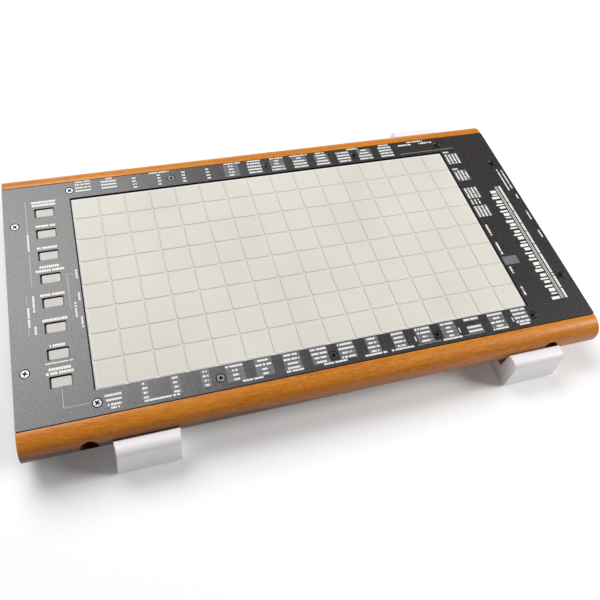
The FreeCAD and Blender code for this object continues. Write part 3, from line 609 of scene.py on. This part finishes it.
HEAD_RADIUS = 2.5 * MM
SHANK_RADIUS = 1.45 * MM
RECESS_ARM, RECESS_HALF = 1.7 * MM, 0.5 * MM
RECESS_DEPTH = 0.9 * MM
RECESS_TAPER = 0.55
RIM_HEIGHT, CONE_HEIGHT = 0.15 * MM, 1.25 * MM
RIM_FLARE = 1.04
CAD_HEAD = 2.95 * MM      # the head's radius in the frame, from which the screws' places follow
QUARTER = math.radians(90)


def draw_down(shape, edges, drop, narrow):
    """Draws a loop of edges on downwards, scaled about the screw's axis, and gives the new loop."""
    drawn = bmesh.ops.extrude_edge_only(shape, edges=edges)["geom"]
    verts = [g for g in drawn if isinstance(g, bmesh.types.BMVert)]
    bmesh.ops.scale(shape, vec=(narrow, narrow, 1), verts=verts)
    bmesh.ops.translate(shape, vec=(0, 0, -drop), verts=verts)
    return [g for g in drawn if isinstance(g, bmesh.types.BMEdge)]


screws = bmesh.new()
head_loop = bmesh.ops.create_circle(screws, segments=32, radius=HEAD_RADIUS,
                                    matrix=Matrix.Rotation(QUARTER / 2, 4, "Z"))["verts"]
head_edges = list({edge for vert in head_loop for edge in vert.link_edges})
cross = []
for quarter in range(4):
    turn = Matrix.Rotation(QUARTER * (quarter + 0.5), 4, "Z")
    for x, y in ((RECESS_ARM, -RECESS_HALF), (RECESS_ARM, RECESS_HALF), (RECESS_HALF, RECESS_HALF)):
        cross.append(screws.verts.new(turn @ Vector((x, y, 0))))
cross_edges = [screws.edges.new((cross[i - 1], cross[i])) for i in range(len(cross))]
bmesh.ops.triangle_fill(screws, use_beauty=True, edges=head_edges + cross_edges)
for face in [face for face in screws.faces if face.calc_center_median().length < RECESS_HALF * 1.2]:
    if all(vert in cross for vert in face.verts):
        screws.faces.remove(face)
loop = draw_down(screws, [edge for edge in cross_edges if edge.is_valid], RECESS_DEPTH, RECESS_TAPER)
bmesh.ops.holes_fill(screws, edges=loop, sides=0)
loop = draw_down(screws, head_edges, RIM_HEIGHT, RIM_FLARE)
loop = draw_down(screws, loop, CONE_HEIGHT, SHANK_RADIUS / (HEAD_RADIUS * RIM_FLARE))
loop = draw_down(screws, loop, screws_high.z - screws_low.z - RIM_HEIGHT - CONE_HEIGHT, 1.0)
bmesh.ops.holes_fill(screws, edges=loop, sides=0)
one_screw = screws.verts[:] + screws.edges[:] + screws.faces[:]
edge_x = screws_high.x - CAD_HEAD
edge_y = screws_high.y - CAD_HEAD
screw_places = [(column * 4 * PITCH, way * edge_y) for way in (1, -1) for column in range(-2, 3)]
screw_places += [(way * edge_x, depth * 3 * PITCH) for way in (1, -1) for depth in (1, -1)]
for number, (x, y) in enumerate(screw_places):
    twist = Matrix.Rotation(math.radians(37 * number), 3, "Z")
    copied = bmesh.ops.duplicate(screws, geom=one_screw)["geom"]
    verts = [g for g in copied if isinstance(g, bmesh.types.BMVert)]
    bmesh.ops.rotate(screws, cent=(0, 0, 0), matrix=twist, verts=verts)
    bmesh.ops.translate(screws, vec=(x, y, screws_high.z), verts=verts)
bmesh.ops.delete(screws, geom=[g for g in one_screw if isinstance(g, bmesh.types.BMVert)], context="VERTS")
finish_piece("countersunk_panel_screws", screws, black_zinc, "instrument", ["panel_screws"])

# ---------------------------------------------------------------- screen printing
# White ink is screen printed on the panel: blocks beside the outer pads, a line or two over each key,
# brackets, and a long band on the right, with some blocks on a grey half-tone. All wording is left
# out: every line of print is a row of plain dashes. This section's sizes and places are in mm.

INK_SINK = 0.02 * MM
WHITE_RISE = 0.04 * MM
GREY_RISE = 0.015 * MM
dashes = random.Random(16)
print_white = bmesh.new()
print_grey = bmesh.new()


def ink(shape, x, y, size_x, size_y):
    """One printed patch, as a plate of ink set on the panel."""
    low = Vector(((x - size_x / 2) * MM, (y - size_y / 2) * MM, panel_high.z - INK_SINK))
    rise = WHITE_RISE if shape is print_white else GREY_RISE
    high = Vector(((x + size_x / 2) * MM, (y + size_y / 2) * MM, panel_high.z + rise))
    plate = bmesh.ops.create_cube(shape, size=1.0)["verts"]
    bmesh.ops.scale(shape, vec=high - low, verts=plate)
    bmesh.ops.translate(shape, vec=(high + low) / 2, verts=plate)


def print_line(x, y, length, height, upright=False):
    """A line of print: plain dashes of uneven length; an upright one runs along the keyboard's depth."""
    start = -length / 2
    while start < length / 2 - 0.3:
        dash = min(dashes.uniform(0.7, 1.6), length / 2 - start)
        middle = start + dash / 2
        if upright:
            ink(print_white, x, y + middle, height, dash)
        else:
            ink(print_white, x + middle, y, dash, height)
        start += dash + (0.9 if dashes.random() < 0.12 else 0.22)


def rule(x0, y0, x1, y1, width=0.16):
    """A thin ruled line along X or along Y."""
    ink(print_white, (x0 + x1) / 2, (y0 + y1) / 2, max(abs(x1 - x0), width), max(abs(y1 - y0), width))


FIRST_PAD_X = -142.1
PAD_STEP = PITCH / MM
LINE_STEP = 3.05
LINE_HEIGHT, CELL_HEIGHT = 1.35, 2.7
FRONT_LINE = -78.3
BACK_LINE = 89.1

# Front blocks: the width of each pad's block, and how much of it the four printed lines fill.
front_blocks = [(11.6, (0, .9, .8, .7)), (6.0, (.4, .5, .4, .5)), (6.0, (.6, .5, .4, .6)),
                (6.0, (.4, .6, .4, .4)), (11.8, (.95, .3, .3, .3)), (11.8, (.6, .9, .3, .3)),
                (11.8, (.8, .9, .6, .7)), (11.8, (.95, .9, .7, .6)), (11.8, (.9, .9, .6, .8)),
                (9.4, (.6, .6, .9, .6)), (9.4, (.9, .7, .9, .6)), (11.8, (.95, .8, .3, .6)),
                (11.8, (.8, .3, .4, .3)), (11.8, (.95, 0, .9, .9)), (12.4, (.95, .4, .9, .4)),
                (11.8, (.95, .95, .9, .9))]
for pad, (width, fills) in enumerate(front_blocks):
    x = FIRST_PAD_X + pad * PAD_STEP
    for line, fill in enumerate(fills):
        if fill:
            y = FRONT_LINE - line * LINE_STEP
            ink(print_grey, x, y, width, CELL_HEIGHT)
            print_line(x, y, width * fill, LINE_HEIGHT)

# Back blocks: the same; the four narrow ones have one small mark a line and no grey cells.
back_blocks = [(11.8, (.95, .95, .95, 0)), (11.8, (.95, .95, .95, 0)), (2.8, (1, 1, 1, 1)),
               (2.8, (1, 1, 1, 1)), (2.8, (1, 1, 1, 1)), (2.8, (1, 1, 1, 1)), (12.0, (.3, .3, .4, .4)),
               (11.8, (.9, .95, .95, .95)), (11.8, (.3, .4, .8, .95)), (12.0, (.3, .9, .95, .95)),
               (11.8, (.7, .6, .8, .95)), (11.8, (.95, .9, .95, .8)), (12.0, (.4, .7, .95, .95)),
               (12.0, (.95, .95, .95, .95))]
for pad, (width, fills) in enumerate(back_blocks):
    x = FIRST_PAD_X + pad * PAD_STEP
    for line, fill in enumerate(fills):
        if fill:
            y = BACK_LINE - line * LINE_STEP
            if width > 5:
                ink(print_grey, x, y, width, CELL_HEIGHT)
            print_line(x, y, width * fill, LINE_HEIGHT)
for x in (124.0, 143.2):
    print_line(x, BACK_LINE, 12.0, 1.5)

# Captions between the blocks and the panel's edges.
for x, length in ((-141.9, 5.2), (-113.6, 21.8), (-56.2, 13.4), (-28.0, 11.6), (0.0, 16.4), (28.6, 15.6),
                  (48.3, 16.6), (85.9, 14.6), (123.9, 12.4), (143.2, 8.8)):
    print_line(x, -89.6, length, 1.25)
for x, length in ((-141.9, 11.0), (-122.6, 4.6), (-84.3, 15.8), (-26.3, 13.4), (-8.6, 10.8), (10.4, 11.2),
                  (29.3, 15.2), (47.7, 7.8), (76.6, 9.6), (105.0, 8.8), (134.2, 15.0)):
    print_line(x, 91.8, length, 1.2)
for x in (59.5, 93.2, 135.6):
    rule(x, -83.0, x, -86.6, 0.7)
rule(116.0, 79.6, 166.0, 79.6)
rule(59.0, -89.6, 77.0, -89.6)
rule(95.0, -89.6, 111.0, -89.6)

# One or two lines over each control key, and a small one under the seventh.
key_low, key_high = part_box("control_key_1")
key_x = (key_low.x + key_high.x) / 2 / MM
for y, length in ((76.7, 17.0), (73.9, 16.4), (54.6, 13.2), (35.4, 14.2), (19.4, 13.0), (16.3, 18.6),
                  (-3.2, 15.6), (-22.4, 15.6), (-41.3, 9.4), (-57.4, 13.2), (-60.2, 16.6)):
    print_line(key_x, y, length, 1.9)
print_line(key_x, -53.2, 16.4, 0.9)

# Bracket lines and upright notes on both sides of the keys.
rule(-183.9, 78.8, -183.9, 49.5)
print_line(-183.9, 41.4, 14.6, 1.2, upright=True)
rule(-183.9, 32.5, -183.9, 5.0)
rule(-187.7, -1.5, -187.7, -9.0)
print_line(-187.2, -17.8, 15.4, 1.3, upright=True)
rule(-187.7, -26.5, -187.7, -32.0)
print_line(-183.6, -8.8, 12.4, 1.3, upright=True)
print_line(-183.6, -28.2, 6.4, 1.3, upright=True)
rule(-162.4, 10.4, -157.0, 10.4)
rule(-160.8, 10.4, -160.8, -18.2)
for y, length in ((10.4, 8.2), (-8.2, 6.2), (-27.8, 8.0)):
    print_line(-154.6, y, length, 1.1, upright=True)
print_line(-157.6, -17.4, 12.4, 1.1, upright=True)
rule(-171.4, -71.2, -171.4, -83.8)
rule(-171.4, -83.8, -156.0, -83.8)

# Blocks beside the pads of the last column, turned a quarter.
for y in (67.6, 48.8, 29.7, 10.6):
    for line in range(4):
        x = 155.3 + line * LINE_STEP
        ink(print_grey, x, y, CELL_HEIGHT, 11.4)
        print_line(x, y, dashes.choice((7.0, 10.4, 10.8)), LINE_HEIGHT, upright=True)
for x in (155.3, 158.4, 161.5):
    print_line(x, 20.4, 5.0, 1.2, upright=True)
for y in (75.4, 56.2):
    print_line(156.8, y, 5.4, 1.4)
for y, length in ((-8.0, 10.4), (-25.8, 11.2), (-45.8, 6.4), (-64.4, 7.4)):
    print_line(155.7, y, length, 1.5, upright=True)
ink(print_grey, 159.6, -37.4, 12.2, 7.2)

# The long band on the right: plain bars of uneven length and height, two rules, and small print.
BAND_START, BAND_END = -76.0, 32.5
BAND_BASE = 180.6
bars = ((2.3, 6.6), (1.2, 5.0), (2.7, 5.0), (1.6, 6.6), (2.0, 5.0), (1.3, 6.6), (2.5, 5.0))
longest_bar = max(length for length, height in bars)
along, number = BAND_START, 0
while along + longest_bar < BAND_END:
    length, height = bars[number % len(bars)]
    ink(print_white, BAND_BASE - height / 2, along + length / 2, height, length)
    along += length + (1.2 if number % 3 else 2.0)
    number += 1
for x in (182.1, 183.4):
    rule(x, BAND_START, x, BAND_END, 0.5)
print_line(186.0, (BAND_START + BAND_END) / 2, BAND_END - BAND_START, 1.9, upright=True)

# Small print over the sockets, beside the right edge.
for x, y, length in ((192.9, 38.6, 23.6), (196.4, 38.6, 20.4), (196.4, 19.7, 4.4), (196.4, 0.2, 9.0),
                     (196.4, -18.8, 7.0)):
    print_line(x, y, length, 1.2, upright=True)

# Epoxy screen ink: flat white, very slightly uneven where the mesh left it thin.
white_ink, tree = new_material("white screen printing ink")
place = add(tree, "TexCoord")
mesh_marks = add(tree, "TexNoise", {"Vector": (place, "Object"), "Scale": 1 / (0.5 * MM)})
tint = add(tree, "Mix", {"Factor": (mesh_marks, "Fac"), 6: colour("#DAD8D4"), 7: colour("#FAFAF8")},
           data_type="RGBA")
ink_skin = add(tree, "BsdfPrincipled", {"Base Color": (tint, 2), "Roughness": 0.55})
add(tree, "OutputMaterial", {"Surface": (ink_skin, "BSDF")})

# The same ink printed through a half-tone screen: a mid grey, mottled by its dots.
halftone_ink, tree = new_material("half-tone screen printing ink")
place = add(tree, "TexCoord")
dots = add(tree, "TexVoronoi", {"Vector": (place, "Object"), "Scale": 1 / (0.5 * MM)})
tint = add(tree, "Mix", {"Factor": (dots, "Distance"), 6: colour("#7E7F84"), 7: colour("#5C5C60")},
           data_type="RGBA")
ink_skin = add(tree, "BsdfPrincipled", {"Base Color": (tint, 2), "Roughness": 0.5})
add(tree, "OutputMaterial", {"Surface": (ink_skin, "BSDF")})

finish_piece("panel_print_white", print_white, white_ink, "instrument", [])
finish_piece("panel_print_grey", print_grey, halftone_ink, "instrument", [])

# ---------------------------------------------------------------- stands
# Four moulded plastic stands hook under the two rails. Each is a J-shaped section with a rounded
# nose, cut off with a bevel at both ends, and can be pushed along its rail.

# Moulded off-white plastic: satin and faintly cool, with bright lines along its rounded edges.
stand_plastic, tree = new_material("moulded off-white plastic")
place = add(tree, "TexCoord")
grain = add(tree, "TexNoise", {"Vector": (place, "Object"), "Scale": 1 / (0.7 * MM), "Detail": 2.0})
tint = add(tree, "Mix", {"Factor": (grain, "Fac"), 6: colour("#E6E2E6"), 7: colour("#EFECED")},
           data_type="RGBA")
relief = add(tree, "Bump", {"Height": (grain, "Fac"), "Strength": 0.25, "Distance": 0.02 * MM})
moulding = add(tree, "BsdfPrincipled", {"Base Color": (tint, 2), "Roughness": 0.26, "IOR": 1.53,
                                        "Normal": (relief, "Normal")})
add(tree, "OutputMaterial", {"Surface": (moulding, "BSDF")})

# The section's corners: distance from the keyboard's centre line, height, and rounding radius in mm.
RAIL_UNDER = rail_low.z
LIP_INSIDE = abs(rail_low.y) + 0.3 * MM
NOSE = LIP_INSIDE + 12.0 * MM
LIP_TOP = 27.0 * MM
SLOT_FLOOR = 10.8 * MM
REST_EDGE = 96.0 * MM
ARM_END = 62.0 * MM
section = [(ARM_END, 0.0, 0.6), (NOSE, 0.0, 3.4), (NOSE - 2.0 * MM, LIP_TOP, 5.0),
           (LIP_INSIDE, LIP_TOP, 1.5), (LIP_INSIDE, SLOT_FLOOR, 0.5), (REST_EDGE, SLOT_FLOOR, 0.5),
           (REST_EDGE, RAIL_UNDER, 0.6), (ARM_END, RAIL_UNDER, 0.6)]
END_BEVEL = 1.5 * MM
BEVEL_REACH = 12.0 * MM
RIM_ROUND = 0.5 * MM

for node in ("front_left_stand", "front_right_stand", "rear_left_stand", "rear_right_stand"):
    low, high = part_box(node)
    side = -1 if node.startswith("front") else 1
    stand = bmesh.new()
    outline = [stand.verts.new((low.x, side * y, z)) for y, z, radius in section]
    end = stand.faces.new(outline)
    drawn = bmesh.ops.extrude_face_region(stand, geom=[end])["geom"]
    bmesh.ops.translate(stand, vec=(high.x - low.x, 0, 0),
                        verts=[g for g in drawn if isinstance(g, bmesh.types.BMVert)])
    bmesh.ops.recalc_face_normals(stand, faces=stand.faces)
    for y, z, radius in section:
        long_edge = edges_where(stand, lambda co: max(abs(co.y - side * y), abs(co.z - z)) < CLOSE)
        soften(stand, long_edge, radius * MM, 8 if radius > 1 else 2)
    top = Vector((0, side * LIP_INSIDE, LIP_TOP - 0.4 * MM))
    foot = Vector((0, side * (NOSE - 1.0 * MM), 1.0 * MM))
    down = (foot - top).normalized()
    forward = (Vector((0, side, 0)) - down * down.y * side).normalized()
    for end_x, way in ((low.x, -1), (high.x, 1)):
        slope = forward * BEVEL_REACH - Vector((way * END_BEVEL, 0, 0))
        normal = down.cross(slope).normalized()
        if normal.x * way < 0:
            normal = -normal
        cut = bmesh.ops.bisect_plane(stand, geom=stand.verts[:] + stand.edges[:] + stand.faces[:],
                                     plane_co=top + Vector((end_x, 0, 0)), plane_no=normal,
                                     clear_outer=True)["geom_cut"]
        bmesh.ops.holes_fill(stand, edges=[g for g in cut if isinstance(g, bmesh.types.BMEdge)], sides=0)
    bmesh.ops.recalc_face_normals(stand, faces=stand.faces)
    rims = [edge for edge in stand.edges
            if edge.calc_face_angle(0) > math.radians(40)
            and abs((edge.verts[0].co - edge.verts[1].co).normalized().x) < 0.5]
    soften(stand, rims, RIM_ROUND, 2)
    finish_piece("moulded_" + node, stand, stand_plastic, node, [node])

# ---------------------------------------------------------------- floor and light
# A white table top under a large soft box above and behind the left end, with a smaller one low on
# the right that lifts the right-hand rail ends and stand.

# Matt white card: almost pure white, with just enough tooth to look like a surface, and soft
# shadows. A faint white glow, which is painted light, lifts its shadows.
card, tree = new_material("matt white card with painted glow")
place = add(tree, "TexCoord")
tooth = add(tree, "TexNoise", {"Vector": (place, "Object"), "Scale": 1 / (3 * MM)})
tint = add(tree, "Mix", {"Factor": (tooth, "Fac"), 6: colour("#F4F4F4"), 7: colour("#FAFAFA")},
           data_type="RGBA")
# Painted light: the faint white emission makes the card glow, though it is no lamp.
paper = add(tree, "BsdfPrincipled", {"Base Color": (tint, 2), "Roughness": 0.9,
                                     "Emission Color": colour("#FFFFFF"), "Emission Strength": 0.07,
                                     "Specular IOR Level": 0.1})
add(tree, "OutputMaterial", {"Surface": (paper, "BSDF")})
table = bmesh.new()
bmesh.ops.create_grid(table, x_segments=1, y_segments=1, size=4.0)
table_mesh = bpy.data.meshes.new("floor")
table.to_mesh(table_mesh)
table.free()
table_mesh.materials.append(card)
floor = bpy.data.objects.new("floor", table_mesh)
bpy.context.scene.collection.objects.link(floor)


def soft_box(name, where, aim, width, height, power):
    """A rectangular soft light at a place, turned to a point."""
    light = bpy.data.lights.new(name, "AREA")
    light.shape = "RECTANGLE"
    light.size, light.size_y, light.energy = width, height, power
    lamp = bpy.data.objects.new(name, light)
    lamp.location = where
    lamp.rotation_euler = (Vector(aim) - Vector(where)).to_track_quat("-Z", "Y").to_euler()
    lamp.visible_camera = False
    bpy.context.scene.collection.objects.link(lamp)


soft_box("overhead", (-0.46, 0.82, 1.25), (-0.20, 0.20, 0.0), 1.1, 1.0, 23.0)
soft_box("side", (1.10, -0.30, 0.70), (0.15, 0.0, 0.0), 0.5, 0.6, 12.5)

world = bpy.data.worlds.new("studio")
world.use_nodes = True
background = world.node_tree.nodes["Background"]
background.inputs["Color"].default_value = colour("#F8F5F2")
background.inputs["Strength"].default_value = 0.12
bpy.context.scene.world = world
bpy.context.scene.view_settings.view_transform = "Standard"
